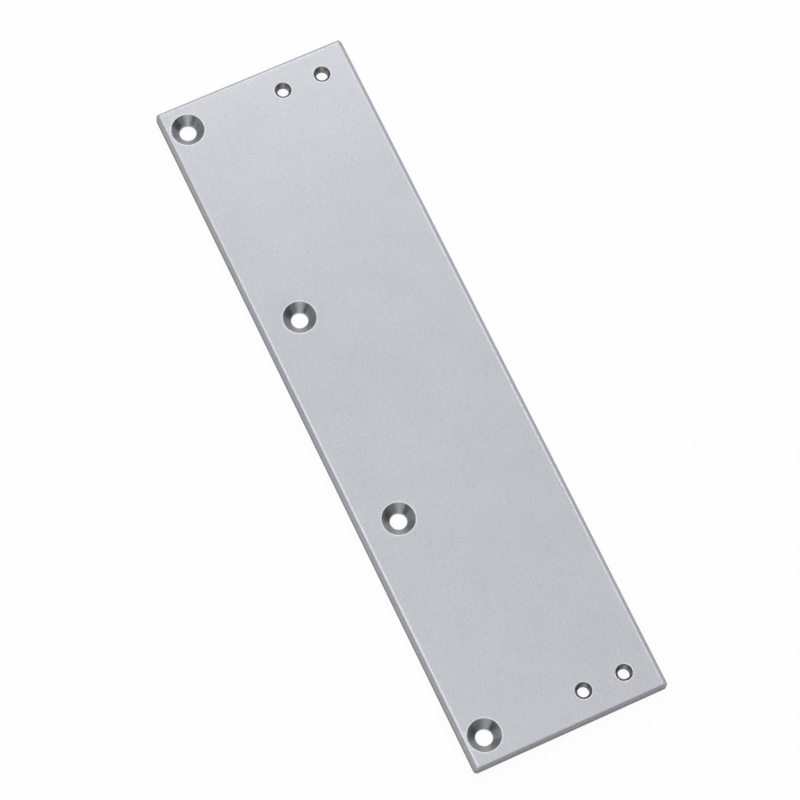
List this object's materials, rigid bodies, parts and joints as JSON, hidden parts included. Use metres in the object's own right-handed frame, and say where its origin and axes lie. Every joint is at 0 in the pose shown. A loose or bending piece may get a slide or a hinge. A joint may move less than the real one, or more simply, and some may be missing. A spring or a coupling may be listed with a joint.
{
  "type": "door closer drop plate",
  "caption": "Flat rectangular drop plate with a chamfered front edge, tapped holes for a door closer body and countersunk holes for fixing it to a door.",
  "frame": {"origin": "middle of the back face, in the plane where the plate meets the door", "axes": "+X along the plate's length, +Y across it towards the edge with the tapped holes, +Z out of the front face that carries the closer"},
  "size_m": [0.33, 0.0904, 0.0055],
  "materials": {
    "plate": "fine satin, sprayed or anodised, with bare turned countersinks"
  },
  "bodies": {
    "root": {"drop_plate": "plate"}
  },
  "joints": []
}
